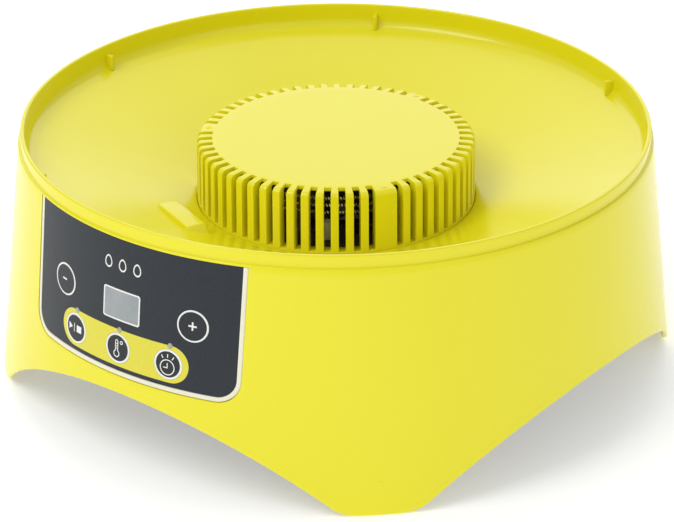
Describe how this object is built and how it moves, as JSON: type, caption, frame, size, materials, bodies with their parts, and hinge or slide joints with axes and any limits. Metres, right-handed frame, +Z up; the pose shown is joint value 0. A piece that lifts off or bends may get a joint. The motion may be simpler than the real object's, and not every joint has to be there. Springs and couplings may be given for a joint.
{
  "type": "round incubator base",
  "caption": "Powered base of a round forced-air egg incubator: flared housing with stacking rim, slotted hot-air tower, key panel, fan and heater inside.",
  "frame": {"origin": "on the ground under the centre of the round rim", "axes": "+Z up through the tower, control panel facing -Y, +X to the right seen from the front"},
  "size_m": [0.34, 0.34, 0.131],
  "materials": {
    "yellow_plastic": "semi-gloss moulded plastic, lime yellow",
    "cream_plastic": "semi-gloss moulded plastic, cream",
    "panel_film": "satin printed film, slate",
    "key_plastic": "satin printed plastic, slate",
    "smoked_window": "translucent grey window",
    "light_pipe": "translucent grey light pipe",
    "black_plastic": "matte black plastic",
    "circuit_board": "green solder mask",
    "rubber": "soft black rubber",
    "screw_steel": "zinc plated steel",
    "sheet_steel": "pressed sheet steel",
    "shaft_steel": "ground steel",
    "lamination": "varnished steel laminations",
    "copper_winding": "enamelled copper wire",
    "mica": "mica sheet",
    "heater_wire": "bare resistance wire",
    "white_plastic": "white moulded plastic",
    "white_sleeve": "white wire sleeve",
    "black_sleeve": "black wire sleeve",
    "blue_plastic": "blue relay case"
  },
  "bodies": {
    "base": {"air_duct": "black_plastic", "board_screw_1": "screw_steel", "board_screw_2": "screw_steel", "board_screw_3": "screw_steel", "board_screw_4": "screw_steel", "bottom_cover": "black_plastic", "control_board": "circuit_board", "cord_gland": "black_plastic", "cover_screw_1": "screw_steel", "cover_screw_2": "screw_steel", "cover_screw_3": "screw_steel", "cover_screw_4": "screw_steel", "display_module": "black_plastic", "display_window": "smoked_window", "filter_capacitor": "black_plastic", "grille_screw_1": "screw_steel", "grille_screw_2": "screw_steel", "grille_screw_3": "screw_steel", "heater_coil": "heater_wire", "heater_frame": "mica", "heater_lead": "white_sleeve", "light_guide_start_stop": "light_pipe", "light_guide_temperature": "light_pipe", "light_guide_timer": "light_pipe", "main_housing": "yellow_plastic", "motor_bracket_lower": "sheet_steel", "motor_bracket_upper": "sheet_steel", "motor_lead": "black_sleeve", "motor_mount": "sheet_steel", "motor_stator": "lamination", "motor_winding": "copper_winding", "outlet_grille": "yellow_plastic", "panel_bezel": "cream_plastic", "panel_cable": "white_sleeve", "panel_overlay": "panel_film", "power_board": "circuit_board", "relay": "blue_plastic", "rubber_foot_1": "rubber", "rubber_foot_2": "rubber", "rubber_foot_3": "rubber", "rubber_foot_4": "rubber", "switch_minus": "black_plastic", "switch_plus": "black_plastic", "switch_start_stop": "black_plastic", "switch_temperature": "black_plastic", "switch_timer": "black_plastic", "temperature_sensor": "white_plastic", "terminal_block": "white_plastic", "thermal_cutout": "white_plastic", "transformer": "lamination"},
    "key_minus_body": {"key_minus": "key_plastic"},
    "key_plus_body": {"key_plus": "key_plastic"},
    "key_start_stop_body": {"key_start_stop": "key_plastic"},
    "key_temperature_body": {"key_temperature": "key_plastic"},
    "key_timer_body": {"key_timer": "key_plastic"},
    "fan": {"fan_impeller": "black_plastic", "fan_nut": "screw_steel", "motor_shaft": "shaft_steel", "motor_rotor": "shaft_steel"}
  },
  "joints": [
    {"name": "press_minus", "type": "slide", "parent": "base", "child": "key_minus_body", "axis": [0, 0.994, -0.1095], "range_m": [0, 0.0008], "stiffness_N_per_m": 1500},
    {"name": "press_plus", "type": "slide", "parent": "base", "child": "key_plus_body", "axis": [0, 0.994, -0.1095], "range_m": [0, 0.0008], "stiffness_N_per_m": 1500},
    {"name": "press_start_stop", "type": "slide", "parent": "base", "child": "key_start_stop_body", "axis": [0, 0.994, -0.1095], "range_m": [0, 0.0008], "stiffness_N_per_m": 1500},
    {"name": "press_temperature", "type": "slide", "parent": "base", "child": "key_temperature_body", "axis": [0, 0.994, -0.1095], "range_m": [0, 0.0008], "stiffness_N_per_m": 1500},
    {"name": "press_timer", "type": "slide", "parent": "base", "child": "key_timer_body", "axis": [0, 0.994, -0.1095], "range_m": [0, 0.0008], "stiffness_N_per_m": 1500},
    {"name": "fan_spin", "type": "hinge", "parent": "base", "child": "fan", "pos_m": [0, 0, 0.08], "axis": [0, 0, 1], "continuous": true}
  ]
}
